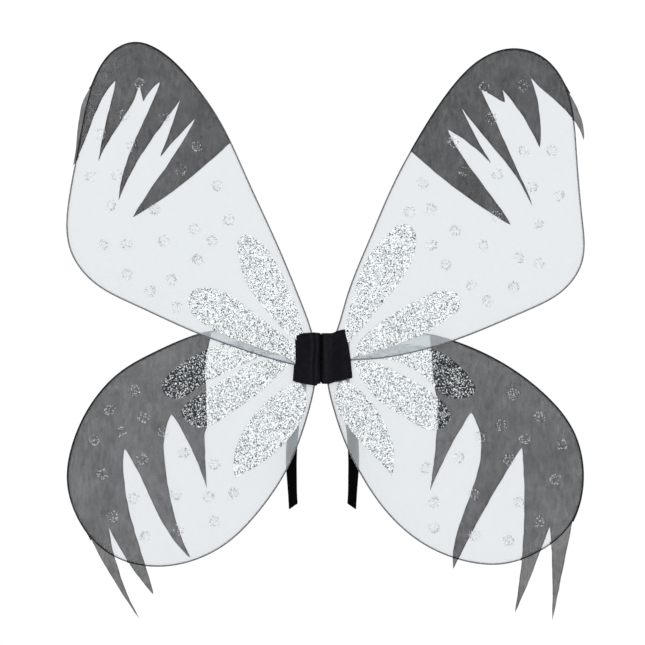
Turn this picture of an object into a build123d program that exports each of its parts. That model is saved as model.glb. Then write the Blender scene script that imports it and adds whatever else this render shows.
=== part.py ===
from build123d import *
import os

# Fairy wings: four wire-framed wings of sheer fabric, worn on the back with two
# elastic shoulder loops.  Millimetres.  X runs along the span, +Z is up and +Y points
# at the wearer.  The origin is the middle of the back pad's wearer-side face.

os.makedirs("parts", exist_ok=True)

# ---------------------------------------------------------------- driving dimensions
WIRE_R = 1.0              # sprung steel wire of each wing loop
CHANNEL_GAP = 0.05        # play between the wire and its fabric channel
FABRIC_T = 0.3            # sheer wing fabric
HEM_W = 2.0               # turned-back hem inside each wire
OVERLAY_T = 0.25          # dark ragged overlay
PETAL_T = 0.55            # glitter petals, measured from the wing fabric
DOT_R = 6.8
DOT_T = 0.5

PAD_T = 3.5
PAD_W = 38.0
PAD_H = 60.0
BACK_PATCH_T = 1.5
BACK_PATCH_W = 70.0
BACK_PATCH_H = 62.0
FRONT_PATCH_T = 1.4
CORNER_R = 3.0
LAYER_GAP = 0.1           # air between neighbouring layers
CREASE_X = -2.0           # vertical fold line of the centre patch
CREASE_HALF_GAP = 1.0

STRAP_W = 14.3
STRAP_T = 1.4
STRAP_X = 28.0            # sewn ends of each shoulder loop, from the middle
STRAP_TOP_Z = 29.0
STRAP_TAB_Z = -35.0       # lower end of the sewn strap runs
RETURN_TAB_H = 22.0
LOOP_TOP_Z = -39.0        # where the hanging loop starts

# ---------------------------------------------------------------- layers, front to back
CHANNEL_R = WIRE_R + CHANNEL_GAP
FABRIC_R = CHANNEL_R + FABRIC_T
BACK_PATCH_FRONT_Y = -PAD_T - BACK_PATCH_T
LOWER_Y = BACK_PATCH_FRONT_Y - LAYER_GAP - FABRIC_R
UPPER_Y = LOWER_Y - FABRIC_R - PETAL_T - LAYER_GAP - FABRIC_R
PATCH_BACK_Y = UPPER_Y - FABRIC_R - PETAL_T - 2 * LAYER_GAP
PATCH_FRONT_Y = PATCH_BACK_Y - FRONT_PATCH_T

# ---------------------------------------------------------------- wing wires
# Each loop is listed from its upper or inner end in the centre patch, out round the
# tip and back to the patch, as (x, z).
UPPER_LEFT_WIRE = [
    (-9, 11), (-15, 36), (-28, 72), (-60.5, 150.5), (-97, 230), (-137, 313),
    (-180, 370), (-213, 399), (-243, 409), (-267, 401), (-287, 379), (-304, 335),
    (-318, 265), (-329.5, 200), (-327, 141), (-297, 99), (-245, 70), (-162, 32.5),
    (-101, 10.5), (-37, -8), (-10, -12),
]
UPPER_RIGHT_WIRE = [
    (6, 10), (19, 36), (31, 76), (60, 150.5), (100, 241), (132, 297), (168, 350),
    (203, 385), (244, 400.5), (285, 390), (307, 368), (320, 338), (329, 270),
    (337, 178), (336.5, 125), (313, 89), (265, 62), (167, 22), (118, 8), (60, -1),
    (38, -2), (8, -8),
]
LOWER_LEFT_WIRE = [
    (-9, -12), (-11, -37), (-17.5, -66), (-28, -100), (-49.5, -149.5), (-85, -201),
    (-122, -238), (-170, -263), (-220, -270), (-272, -256), (-312, -217),
    (-330.5, -160), (-324, -113), (-300, -61), (-262, -19), (-215, 8), (-160, 31),
    (-118, 35), (-80, 22), (-55, 7), (-38, -6), (-17, -12),
]
LOWER_RIGHT_WIRE = [
    (6, -12), (7.5, -35), (15.5, -68), (27.5, -104), (46.5, -144), (85, -201),
    (130, -240), (185, -263), (232, -267), (282, -250), (323, -213), (338, -150),
    (325, -95), (287, -47), (238, -10), (185, 16), (134, 31), (100, 30), (75, 20),
    (55, 9), (37, -3), (14, -10),
]

# ---------------------------------------------------------------- ragged dark overlays
# A corner to start from, then one run per smooth edge.  Every run ends at a corner:
# the tip of a hanging point or the notch between two.  The last runs follow the wire
# round the wing tip.
UPPER_LEFT_OVERLAY = [
    (-120, 279),
    [(-150, 252), (-200, 212), (-247, 181.5)],
    [(-228, 212), (-185, 275), (-165, 311)],
    [(-195, 279), (-211, 260)],
    [(-198, 295), (-184, 336)],
    [(-212, 297), (-237, 260), (-264.5, 203)],
    [(-255, 252), (-232, 307), (-210, 359)],
    [(-225, 345), (-232.5, 332)],
    [(-237.5, 353)],
    [(-247, 330), (-277, 282), (-291, 254)],
    [(-285, 287), (-275, 330), (-268, 361)],
    [(-295, 317), (-310, 278), (-325, 247.5)],
    [(-318, 293), (-309, 337), (-299, 353)],
    [(-287, 379), (-267, 401), (-243, 409), (-213, 399), (-180, 370), (-137, 310),
     (-120, 279)],
]
UPPER_RIGHT_OVERLAY = [
    (115, 268),
    [(152, 236), (200, 200), (245, 172)],
    [(228, 198), (178, 267), (162, 297)],
    [(188, 280), (219, 252)],
    [(200, 285), (180, 325)],
    [(210, 287), (241, 249), (272.5, 196)],
    [(264, 219), (246, 259), (228, 300), (205, 349)],
    [(237, 331)],
    [(233, 349)],
    [(250, 328), (282, 272)],
    [(283, 298), (270, 364)],
    [(303, 333), (326, 309), (339, 282)],
    [(337.5, 305), (325, 335), (312, 358)],
    [(302, 374), (285, 390), (244, 400.5), (203, 385), (168, 350), (132, 297),
     (115, 268)],
]
LOWER_LEFT_OVERLAY = [
    (-144, 33),
    [(-150, 3), (-151, -45), (-149.7, -88)],
    [(-153, -97)],
    [(-152, -135), (-149.7, -171)],
    [(-168, -122), (-196, -72)],
    [(-205, -102), (-203, -150), (-188, -218), (-171, -260)],
    [(-200, -226), (-230, -167), (-257, -117)],
    [(-255, -178), (-234, -256), (-219, -308)],
    [(-250, -268), (-277.5, -219)],
    [(-270, -257), (-236.7, -340)],
    [(-262, -303), (-304, -228)],
    [(-319, -203), (-330.5, -160), (-324, -113), (-300, -61), (-262, -19),
     (-215, 8), (-170, 27), (-144, 33)],
]
LOWER_RIGHT_OVERLAY = [
    (140, 30),
    [(142, -12), (149, -55)],
    [(148, -93), (139, -174)],
    [(165, -117), (193, -70)],
    [(206, -112), (189, -185), (169.7, -275)],
    [(201, -213), (259, -115)],
    [(262, -190), (249.7, -331)],
    [(273, -277), (295, -217.5)],
    [(298, -267), (298.3, -342.5)],
    [(313, -270), (325, -211)],
    [(338, -150), (325, -95), (287, -47), (238, -10), (185, 16), (140, 30)],
]

# ---------------------------------------------------------------- glitter petals
# Root corner, then the smooth runs of the outline, as (x, z).  The upper petals run in
# behind the centre patch, so their roots are cut square.
UPPER_LEFT_PETALS = [
    [(-25, 24),
     [(-28.5, 50), (-39, 78), (-48, 99), (-58, 120), (-70, 139), (-86, 154), (-100, 160),
      (-110.5, 149), (-108, 130), (-103, 109), (-91, 85), (-71, 60), (-51, 37.5), (-34, 23)],
     [(-25, 24)]],
    [(-34, -4),
     [(-34, 16.5)],
     [(-50, 28.5), (-70, 44), (-100, 67.5), (-129, 86), (-150, 91), (-170, 85),
      (-175, 71), (-160, 49), (-136, 34), (-110, 23), (-80, 12.5), (-60, 5.5), (-34, -4)]],
]
UPPER_RIGHT_PETALS = [
    [(26, 24),
     [(31.5, 49), (37, 70), (45.5, 100), (58, 129), (72, 147), (88, 163.5), (104, 174),
      (117.5, 168), (121, 150), (114.5, 123), (103, 103), (81, 75), (60, 49), (41, 28),
      (32.5, 19.5)],
     [(26, 24)]],
    [(43.5, 3),
     [(43.5, 15)],
     [(60, 34), (80, 49.5), (101, 63.5), (130, 78.5), (157, 88), (173, 84.5), (179, 70),
      (161, 50), (135, 33.5), (110, 23), (90, 15.5), (65, 7), (43.5, 3)]],
]
LOWER_LEFT_PETALS = [
    [(-43, 2),
     [(-70, 13), (-118, 21), (-152, 10), (-195, -17), (-208, -41), (-193, -52.5),
      (-162, -38), (-115, -14), (-80, 1.5), (-43, 2)]],
    [(-41, -5),
     [(-72, -2), (-115, -20), (-163, -50), (-183, -71), (-165, -89), (-128, -77),
      (-76, -39.5), (-41, -5)]],
    [(-30, -30),
     [(-54, -42), (-99, -89), (-114, -124), (-113, -155)],
     [(-82, -138), (-39.5, -99), (-20.5, -55), (-30, -30)]],
]
LOWER_RIGHT_PETALS = [
    [(43, 1),
     [(71, 7), (104, 18), (142, 12), (187, -20), (198, -44), (175, -53),
      (135, -27), (90, -3), (66, 0), (43, 1)]],
    [(41, -5),
     [(60, -4), (107, -24), (152, -53), (166, -78), (148, -93), (115, -82),
      (70, -52.5), (41, -5)]],
    [(27, -28),
     [(48, -42), (82, -87), (93, -127), (90, -152)],
     [(59, -118.5), (27, -80), (16, -45), (27, -28)]],
]

# ---------------------------------------------------------------- glitter dots
UPPER_LEFT_DOTS = [
    (-238, 357), (-257, 315), (-288, 291), (-205, 311), (-247, 275), (-163, 275),
    (-183, 244), (-301, 236), (-267, 237), (-136, 224), (-275, 198), (-218, 193),
    (-122, 179), (-166, 167), (-206, 152), (-143, 152), (-285, 146), (-254, 148),
    (-162, 127), (-254, 108), (-196, 101), (-223, 87), (-190, 66),
]
UPPER_RIGHT_DOTS = [
    (210, 351), (260, 353), (219, 311), (170, 280), (184, 243), (227, 238),
    (261, 269), (298, 269), (272, 222), (307, 211), (130, 227), (113, 190),
    (141, 194), (226, 184), (280, 175), (172, 165), (142, 147), (209, 146),
    (254, 130), (281, 123), (160, 121), (193, 94), (248, 92), (214, 74),
]
LOWER_LEFT_DOTS = [
    (-244, -42), (-276, -67), (-232, -77), (-261, -96), (-297, -107), (-207, -96),
    (-180, -123), (-140, -138), (-234, -131), (-286, -150), (-115, -175),
    (-148, -180), (-190, -176), (-245, -182), (-272, -205), (-187, -223),
    (-140, -212), (-230, -232),
]
LOWER_RIGHT_DOTS = [
    (248, -47), (282, -76), (232, -87), (263, -105), (311, -112), (204, -103),
    (177, -129), (242, -132), (134, -142), (302, -157), (145, -187), (197, -177),
    (255, -187), (281, -212), (145, -220), (197, -230), (241, -237),
]

# ---------------------------------------------------------------- centre patch, (x, z)
LEFT_CREASE = CREASE_X - CREASE_HALF_GAP
RIGHT_CREASE = CREASE_X + CREASE_HALF_GAP
LEFT_PATCH = [
    (LEFT_CREASE, 32.6), (-11, 33.6), (-36, 32), (-35.5, -8.5), (-37.4, -9),
    (-38.8, -30), (-25, -33.6), (-8, -36.4), (-6, -33.6), (LEFT_CREASE, -33.6),
]
RIGHT_PATCH = [
    (RIGHT_CREASE, 32.6), (12.7, 32.6), (20, 36), (29.6, 37.8), (35, 12), (36.7, 0),
    (39.2, -26), (17, -31), (8.5, -34), (RIGHT_CREASE, -33.6),
]
BINDING_Z = (-24.0, 18.0)
LEFT_BINDING_X = (-20.0, -5.0)
RIGHT_BINDING_X = (1.0, 17.0)


def level(y):
    """The plane facing the front at depth y, with sketch points as (x, z)."""
    return Plane.XZ.offset(-y)


def turning(points):
    """+1 for a loop listed anticlockwise as seen from the front, -1 for clockwise."""
    pairs = zip(points, points[1:] + points[:1])
    area = sum(a[0] * b[1] - b[0] * a[1] for a, b in pairs)
    return 1 if area > 0 else -1


def draw_runs(outline):
    """Draw a corner-to-corner outline: one spline, or line, for each run."""
    corner = outline[0]
    for run in outline[1:]:
        if len(run) == 1:
            Line(corner, run[0])
        else:
            Spline(corner, *run)
        corner = run[-1]


def finish(builder, label):
    """Name a finished piece and write it out."""
    builder.part.label = label
    export_step(builder.part, f"parts/{label}.step")


# ---------------------------------------------------------------- the four wings
def build_wing(name, y, wire_points, overlay_outline, petal_outlines, dots, binding_x):
    """Wire, fabric, dark overlay and glitter of one wing; returns its wire."""
    front_y = y - FABRIC_R

    with BuildPart() as wire:
        with BuildLine(level(y)) as loop:
            Spline(*wire_points)
        with BuildSketch(Plane(origin=loop.line @ 0, z_dir=loop.line % 0)):
            Circle(WIRE_R)
        sweep()
    finish(wire, f"{name}_wire")

    # The front sheet spans the loop; the hem wraps the wire and turns back inside it.
    inward = -turning(wire_points)
    with BuildPart() as fabric:
        with BuildSketch(level(y - CHANNEL_R)):
            with BuildLine():
                Spline(*wire_points)
                Line(wire_points[-1], wire_points[0])
            make_face()
        extrude(amount=FABRIC_T)
        with BuildLine(level(y)) as channel:
            Spline(*wire_points)
        start = Plane(
            origin=channel.line @ 0,
            x_dir=(0, -1, 0),
            z_dir=channel.line % 0,
        )
        with BuildSketch(start):
            with BuildLine():
                ThreePointArc((CHANNEL_R, 0), (0, -inward * CHANNEL_R), (-CHANNEL_R, 0))
                Line((-CHANNEL_R, 0), (-CHANNEL_R, inward * HEM_W))
                Line((-CHANNEL_R, inward * HEM_W), (-FABRIC_R, inward * HEM_W))
                Line((-FABRIC_R, inward * HEM_W), (-FABRIC_R, 0))
                ThreePointArc((-FABRIC_R, 0), (0, -inward * FABRIC_R), (FABRIC_R, 0))
                Line((FABRIC_R, 0), (CHANNEL_R, 0))
            make_face()
        sweep(path=channel.line)
        # Room for the tape that binds the wire ends together.
        with BuildSketch(level(0)):
            with Locations((sum(binding_x) / 2, sum(BINDING_Z) / 2)):
                Rectangle(
                    binding_x[1] - binding_x[0] + 2 * LAYER_GAP,
                    BINDING_Z[1] - BINDING_Z[0] + 2 * LAYER_GAP,
                )
        extrude(amount=-PATCH_FRONT_Y, mode=Mode.SUBTRACT)
    finish(fabric, f"{name}_fabric")

    with BuildPart() as overlay:
        with BuildSketch(level(front_y)):
            with BuildLine():
                draw_runs(overlay_outline)
            make_face()
        extrude(amount=OVERLAY_T)
    finish(overlay, f"{name}_overlay")

    with BuildPart() as petals:
        for outline in petal_outlines:
            with BuildSketch(level(front_y)):
                with BuildLine():
                    draw_runs(outline)
                make_face()
            extrude(amount=PETAL_T)
        add(overlay.part, mode=Mode.SUBTRACT)
    finish(petals, f"{name}_glitter_petals")

    with BuildPart() as spots:
        with BuildSketch(level(front_y)):
            with Locations(*dots):
                Circle(DOT_R)
        extrude(amount=DOT_T)
        add(overlay.part, mode=Mode.SUBTRACT)
    finish(spots, f"{name}_glitter_dots")
    return wire


upper_left_wire = build_wing(
    "upper_left", UPPER_Y, UPPER_LEFT_WIRE, UPPER_LEFT_OVERLAY,
    UPPER_LEFT_PETALS, UPPER_LEFT_DOTS, LEFT_BINDING_X,
)
upper_right_wire = build_wing(
    "upper_right", UPPER_Y, UPPER_RIGHT_WIRE, UPPER_RIGHT_OVERLAY,
    UPPER_RIGHT_PETALS, UPPER_RIGHT_DOTS, RIGHT_BINDING_X,
)
lower_left_wire = build_wing(
    "lower_left", LOWER_Y, LOWER_LEFT_WIRE, LOWER_LEFT_OVERLAY,
    LOWER_LEFT_PETALS, LOWER_LEFT_DOTS, LEFT_BINDING_X,
)
lower_right_wire = build_wing(
    "lower_right", LOWER_Y, LOWER_RIGHT_WIRE, LOWER_RIGHT_OVERLAY,
    LOWER_RIGHT_PETALS, LOWER_RIGHT_DOTS, RIGHT_BINDING_X,
)

# ---------------------------------------------------------------- wire bindings
# Tape wound round the wire ends of each side, between the two covers of the patch.
BINDING_DEPTH = BACK_PATCH_FRONT_Y - LAYER_GAP - (PATCH_BACK_Y + LAYER_GAP)


def build_binding(label, x_range, wires):
    with BuildPart() as binding:
        with BuildSketch(level(BACK_PATCH_FRONT_Y - LAYER_GAP)):
            with Locations((sum(x_range) / 2, sum(BINDING_Z) / 2)):
                RectangleRounded(
                    x_range[1] - x_range[0], BINDING_Z[1] - BINDING_Z[0], CORNER_R
                )
        extrude(amount=BINDING_DEPTH)
        for wire in wires:
            add(wire.part, mode=Mode.SUBTRACT)
    finish(binding, label)


build_binding("left_wire_binding", LEFT_BINDING_X, [upper_left_wire, lower_left_wire])
build_binding("right_wire_binding", RIGHT_BINDING_X, [upper_right_wire, lower_right_wire])

# ---------------------------------------------------------------- centre patch covers
for label, outline in (("left_front_patch", LEFT_PATCH), ("right_front_patch", RIGHT_PATCH)):
    with BuildPart() as front_patch:
        with BuildSketch(level(PATCH_BACK_Y)):
            with BuildLine():
                Polyline(*outline, close=True)
            make_face()
        extrude(amount=FRONT_PATCH_T)
    finish(front_patch, label)

with BuildPart() as back_patch:
    with BuildSketch(level(-PAD_T)):
        RectangleRounded(BACK_PATCH_W, BACK_PATCH_H, CORNER_R)
    extrude(amount=BACK_PATCH_T)
finish(back_patch, "back_patch")

with BuildPart() as back_pad:
    with BuildSketch(level(0)):
        RectangleRounded(PAD_W, PAD_H, 2 * CORNER_R)
    extrude(amount=PAD_T)
    fillet(back_pad.faces().sort_by(Axis.Y)[-1].edges(), radius=1.2)
finish(back_pad, "back_pad")

# Running stitch down the crease, through to the back cover.
STITCH_W = 0.6
STITCH_PITCH = 5.0
STITCH_ROWS = 12
SEAM_FRONT_Y = PATCH_FRONT_Y + 0.4
with BuildPart() as crease_seam:
    with BuildSketch(level(BACK_PATCH_FRONT_Y)):
        with Locations((CREASE_X, 0)):
            with GridLocations(0, STITCH_PITCH, 1, STITCH_ROWS):
                Rectangle(STITCH_W, STITCH_W)
    extrude(amount=BACK_PATCH_FRONT_Y - SEAM_FRONT_Y)
    with BuildSketch(level(SEAM_FRONT_Y)):
        with Locations((CREASE_X, 0)):
            with GridLocations(0, 2 * STITCH_PITCH, 1, STITCH_ROWS // 2):
                Rectangle(STITCH_W, STITCH_PITCH + STITCH_W)
    extrude(amount=-STITCH_W)
finish(crease_seam, "crease_seam")

# ---------------------------------------------------------------- shoulder straps
TAB_OUTER_Y = -PAD_T + STRAP_T
RETURN_Y = TAB_OUTER_Y + LAYER_GAP
RETURN_OUTER_Y = RETURN_Y + STRAP_T
# Side view of the hanging loop for the right side: x, y, z down the front run, round
# the bottom and back up to the sewn end.
LOOP_PATH = [
    (STRAP_X, TAB_OUTER_Y - STRAP_T / 2, LOOP_TOP_Z), (31.0, -2.7, -56), (38.0, -2.4, -90),
    (40.5, -1.4, -128), (39.5, 1.6, -164), (38.0, 10.5, -193.6), (39.5, 19.5, -166),
    (40.5, 21.5, -130), (37.5, 14.5, -88), (31.0, 3.9, -56),
    (STRAP_X, RETURN_Y + STRAP_T / 2, LOOP_TOP_Z),
]
STITCH_T = 0.3
BOX_STITCH = 10.0
GUIDE_X = 40.0

for side, sign in (("left", -1), ("right", 1)):
    # The sewn runs: one the full height of the patch, the return end on top of it.
    with BuildPart() as strap_tabs:
        with BuildSketch(level(TAB_OUTER_Y)):
            with Locations((sign * STRAP_X, (STRAP_TOP_Z + STRAP_TAB_Z) / 2)):
                Rectangle(STRAP_W, STRAP_TOP_Z - STRAP_TAB_Z)
        extrude(amount=STRAP_T)
        with BuildSketch(level(RETURN_OUTER_Y)):
            with Locations((sign * STRAP_X, STRAP_TAB_Z + RETURN_TAB_H / 2)):
                Rectangle(STRAP_W, RETURN_TAB_H)
        extrude(amount=STRAP_T)
    finish(strap_tabs, f"{side}_strap_tabs")

    with BuildPart() as strap_stitches:
        seams = (
            (RETURN_OUTER_Y, STRAP_TAB_Z + RETURN_TAB_H / 2),
            (TAB_OUTER_Y, STRAP_TOP_Z - BOX_STITCH),
        )
        for y, z in seams:
            with BuildSketch(level(y + STITCH_T)):
                with Locations((sign * STRAP_X, z)):
                    Rectangle(BOX_STITCH, BOX_STITCH)
                    Rectangle(
                        BOX_STITCH - 2 * STITCH_W, BOX_STITCH - 2 * STITCH_W,
                        mode=Mode.SUBTRACT,
                    )
                    Rectangle(STITCH_W, BOX_STITCH * 1.3, rotation=45)
                    Rectangle(STITCH_W, BOX_STITCH * 1.3, rotation=-45)
            extrude(amount=STITCH_T)
    finish(strap_stitches, f"{side}_strap_stitches")

    # A guide line beside the loop keeps the webbing's width along X.
    with BuildLine() as guide:
        Spline(*[(sign * x + GUIDE_X, y, z) for x, y, z in LOOP_PATH])
    with BuildPart() as strap_loop:
        with BuildLine() as hang:
            Spline(*[(sign * x, y, z) for x, y, z in LOOP_PATH])
        with BuildSketch(Plane(origin=hang.line @ 0, x_dir=(1, 0, 0), z_dir=hang.line % 0)):
            Rectangle(STRAP_W, STRAP_T)
        sweep(binormal=guide.line.edges()[0])
    finish(strap_loop, f"{side}_strap_loop")
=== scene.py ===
"""Looks for the fairy wings: sheer wings stretched on wire, ragged dark tips, glitter,
a folded black centre patch and two elastic shoulder loops.  Metres, in the CAD's frame:
X to the right, Y away from the viewer of the front, Z up."""

import math
import random

import bpy
import numpy as np
from mathutils import Matrix, Vector, kdtree, noise
from mathutils.geometry import delaunay_2d_cdt


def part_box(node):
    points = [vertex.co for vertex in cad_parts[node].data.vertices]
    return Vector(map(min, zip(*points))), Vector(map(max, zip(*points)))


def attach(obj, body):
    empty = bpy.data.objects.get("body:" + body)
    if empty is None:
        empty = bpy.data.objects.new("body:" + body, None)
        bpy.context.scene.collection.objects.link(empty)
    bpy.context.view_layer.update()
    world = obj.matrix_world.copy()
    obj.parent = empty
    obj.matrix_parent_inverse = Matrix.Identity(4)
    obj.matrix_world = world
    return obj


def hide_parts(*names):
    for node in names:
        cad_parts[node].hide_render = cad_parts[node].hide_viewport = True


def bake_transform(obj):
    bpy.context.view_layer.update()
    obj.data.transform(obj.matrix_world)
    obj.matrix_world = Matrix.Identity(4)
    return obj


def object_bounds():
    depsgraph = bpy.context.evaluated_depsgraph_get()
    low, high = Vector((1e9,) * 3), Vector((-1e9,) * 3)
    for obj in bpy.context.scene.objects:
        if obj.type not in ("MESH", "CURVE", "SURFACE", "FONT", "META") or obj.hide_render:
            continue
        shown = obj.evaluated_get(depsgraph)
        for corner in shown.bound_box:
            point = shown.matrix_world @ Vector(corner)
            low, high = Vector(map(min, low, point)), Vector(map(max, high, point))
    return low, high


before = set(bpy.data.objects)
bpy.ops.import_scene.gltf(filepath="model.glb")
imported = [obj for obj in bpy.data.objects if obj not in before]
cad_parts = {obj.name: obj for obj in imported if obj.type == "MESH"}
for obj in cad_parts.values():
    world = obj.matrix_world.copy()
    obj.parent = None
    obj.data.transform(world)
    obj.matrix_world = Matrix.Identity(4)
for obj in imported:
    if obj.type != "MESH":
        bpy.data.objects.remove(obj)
CAD_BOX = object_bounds()

MM = 0.001
WINGS = ("upper_left", "upper_right", "lower_left", "lower_right")
TINY = 1e-12                 # keeps a division finite
SHEET_T = 0.20 * MM          # sheer fabric
OVERLAY_T = 0.20 * MM
OVERLAY_GAP = 0.18 * MM      # air between the white sheet and the dark tip
WRAP_R = 1.14 * MM           # fabric turned round the wire
WRAP_TURNS = (65, 35, 0, -35, -65, -90)      # degrees round the wire, front to back
HEM_LIP = 2.0 * MM
HELD_REACH = 2.2 * MM        # a dark edge this near the wire is turned round it
HEM_COVER = 0.45             # cloth pulled tight on the wire lets it show
TIP_WRAP_R = WRAP_R + 0.32 * MM
TIP_WRAP_TURNS = (62, 35, 5, -30, -62, -88)
TIP_WRAP_COVER = 1.08
SHEET_STEP = 7.0 * MM        # mesh spacing of the stretched sheets
OVERLAY_STEP = 4.0 * MM
FLAKE_STEP = 1.4 * MM        # one glitter facet
CRUMB_STEP = 1.45 * MM       # one crumb of a glitter dot
PANEL_STEP = 2.2 * MM
PAD_STEP = 2.4 * MM
SLACK = {"upper": 3.4 * MM, "lower": 2.0 * MM}   # deepest billow of a sheet
CORNER_TURN = math.radians(24)


def wings_body(wing):
    """The moving body one wing belongs to."""
    return wing.split("_")[1] + "_wings"


def middle_y(node):
    """Half way between a node's front and back."""
    low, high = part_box(node)
    return (low.y + high.y) / 2


def spot_noise(x, y, z):
    """Smooth random value, about -1 to 1, the same on every run."""
    return noise.noise(Vector((x, y, z)))


# ------------------------------------------------------------------ outlines
def front_loops(node):
    """Closed outlines (n x 2 arrays of x, z) of a flat node's front face, largest first."""
    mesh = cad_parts[node].data
    mesh.calc_loop_triangles()
    co = np.array([v.co for v in mesh.vertices])
    front = co[:, 1].min()
    grid = 1e-6        # vertices this close are one point
    face_depth = 2e-5  # how far behind the front a vertex may lie and still be on it
    keys = [
        (round(c[0] / grid), round(c[2] / grid)) if c[1] - front < face_depth else None
        for c in co
    ]
    count = {}
    for tri in mesh.loop_triangles:
        k = [keys[i] for i in tri.vertices]
        if None in k or len(set(k)) < 3:
            continue
        for a, b in ((k[0], k[1]), (k[1], k[2]), (k[2], k[0])):
            edge = (a, b) if a < b else (b, a)
            count[edge] = count.get(edge, 0) + 1
    near = {}
    for (a, b), n in count.items():
        if n == 1:
            near.setdefault(a, []).append(b)
            near.setdefault(b, []).append(a)
    loops = []
    fewest = 5         # shorter loops are slivers
    while near:
        start = next(iter(near))
        loop, here, last = [start], start, None
        while True:
            options = [p for p in near[here] if p != last]
            if not options or options[0] == start:
                break
            last, here = here, options[0]
            if here in loop[-3:]:
                break
            loop.append(here)
        for p in loop:
            near.pop(p, None)
        if len(loop) >= fewest:
            loops.append(np.array(loop, float) * grid)
    for loop in loops:
        if signed_area(loop) < 0:
            loop[:] = loop[::-1].copy()
    return sorted(loops, key=lambda loop: -abs(signed_area(loop)))


def signed_area(loop):
    """Area of an outline, positive when it runs anticlockwise."""
    x, z = loop[:, 0], loop[:, 1]
    return 0.5 * float(np.sum(x * np.roll(z, -1) - np.roll(x, -1) * z))


def resample(loop, step, corner=CORNER_TURN):
    """Even spacing along the smooth stretches, keeping every sharp corner."""
    n = len(loop)
    before = loop - np.roll(loop, 1, axis=0)
    after = np.roll(loop, -1, axis=0) - loop
    turn = np.abs(
        np.arctan2(
            before[:, 0] * after[:, 1] - before[:, 1] * after[:, 0],
            np.sum(before * after, axis=1),
        )
    )
    corners = [i for i in range(n) if turn[i] > corner] or [0]
    points = []
    for j, i in enumerate(corners):
        end = corners[(j + 1) % len(corners)]
        span = (end - i) % n or n
        run = np.array([loop[(i + k) % n] for k in range(span + 1)])
        length = np.concatenate([[0], np.cumsum(np.linalg.norm(np.diff(run, axis=0), axis=1))])
        pieces = max(1, round(length[-1] / step))
        at = np.linspace(0, length[-1], pieces + 1)[:-1]
        points.append(np.stack([np.interp(at, length, run[:, k]) for k in (0, 1)], axis=1))
    return np.concatenate(points)


def inside(points, loop):
    """Even-odd test of many (x, z) points against one outline."""
    x, z = points[:, 0][:, None], points[:, 1][:, None]
    a, b = loop, np.roll(loop, -1, axis=0)
    spans = (a[:, 1] > z) != (b[:, 1] > z)
    rise = np.where(np.abs(b[:, 1] - a[:, 1]) < TINY, TINY, b[:, 1] - a[:, 1])
    cross = a[:, 0] + (z - a[:, 1]) * (b[:, 0] - a[:, 0]) / rise
    return np.sum(spans & (x < cross), axis=1) % 2 == 1


def outward(loop):
    """Unit normals pointing out of an anticlockwise outline."""
    along = np.roll(loop, -1, axis=0) - np.roll(loop, 1, axis=0)
    along /= np.maximum(np.linalg.norm(along, axis=1), TINY)[:, None]
    return np.stack([along[:, 1], -along[:, 0]], axis=1)


def edge_distance(points, loop):
    """Distance from each point to an outline."""
    best = np.full(len(points), np.inf)
    for p, q in zip(loop, np.roll(loop, -1, axis=0)):
        d = q - p
        square = max(d @ d, 1e-18)      # finite even for a doubled point
        t = np.clip(((points - p) @ d) / square, 0, 1)
        best = np.minimum(best, np.linalg.norm(points - (p + t[:, None] * d), axis=1))
    return best


def face_front(faces, verts):
    """Turns flat triangles so that their normals point at the front, -Y."""
    turned = []
    for f in faces:
        a, b, c = (verts[i] for i in f[:3])
        facing = (b[0] - a[0]) * (c[1] - a[1]) - (b[1] - a[1]) * (c[0] - a[0])
        turned.append(f if facing > 0 else f[::-1])
    return turned


def triangulate(loop, step, seed, jitter=0.12):
    """Fills an outline with a jittered triangular lattice; the outline comes first.
    Gives the points, the triangles facing the front, and the number of outline points."""
    rng = np.random.default_rng(seed)
    low, high = loop.min(0), loop.max(0)
    rows = []
    row_height = step * math.sqrt(3) / 2
    for r, z in enumerate(np.arange(low[1] + row_height / 2, high[1], row_height)):
        shift = step * (0.25 if r % 2 else 0.75)
        xs = np.arange(low[0] + shift, high[0], step)
        rows.append(np.stack([xs, np.full(len(xs), z)], axis=1))
    lattice = np.concatenate(rows) if rows else np.zeros((0, 2))
    lattice = lattice + rng.uniform(-jitter, jitter, lattice.shape) * step
    lattice = lattice[inside(lattice, loop)]
    lattice = lattice[edge_distance(lattice, loop) > step / 2]
    verts = np.concatenate([loop, lattice])
    inside_only, same_point = 1, 1e-7
    out = delaunay_2d_cdt(
        [Vector(p) for p in verts.tolist()], [], [list(range(len(loop)))],
        inside_only, same_point,
    )
    flat = np.array([tuple(v) for v in out[0]])
    return flat, face_front([list(f) for f in out[2]], flat), len(loop)


# ------------------------------------------------------------------ meshes
def new_piece(name, verts, faces, smooth=True):
    """A mesh object in the scene."""
    mesh = bpy.data.meshes.new(name)
    mesh.from_pydata([tuple(v) for v in verts], [], [tuple(f) for f in faces])
    mesh.validate()
    mesh.update()
    if smooth:
        mesh.polygons.foreach_set("use_smooth", [True] * len(mesh.polygons))
    piece = bpy.data.objects.new(name, mesh)
    bpy.context.scene.collection.objects.link(piece)
    return piece


def store(mesh, name, domain, values):
    """One number per point or face, for the materials to read."""
    attribute = mesh.attributes.new(name, "FLOAT", domain)
    attribute.data.foreach_set("value", np.array(values, np.float32))


def apply_modifiers(piece):
    """Turns the piece's evaluated shape into its own mesh."""
    graph = bpy.context.evaluated_depsgraph_get()
    mesh = bpy.data.meshes.new_from_object(piece.evaluated_get(graph))
    piece.modifiers.clear()
    old = piece.data
    piece.data = mesh
    bpy.data.meshes.remove(old)


def subdivide(piece):
    """One level of smoothing, applied."""
    finer = piece.modifiers.new("Finer", "SUBSURF")
    finer.levels = finer.render_levels = 1
    apply_modifiers(piece)


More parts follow.
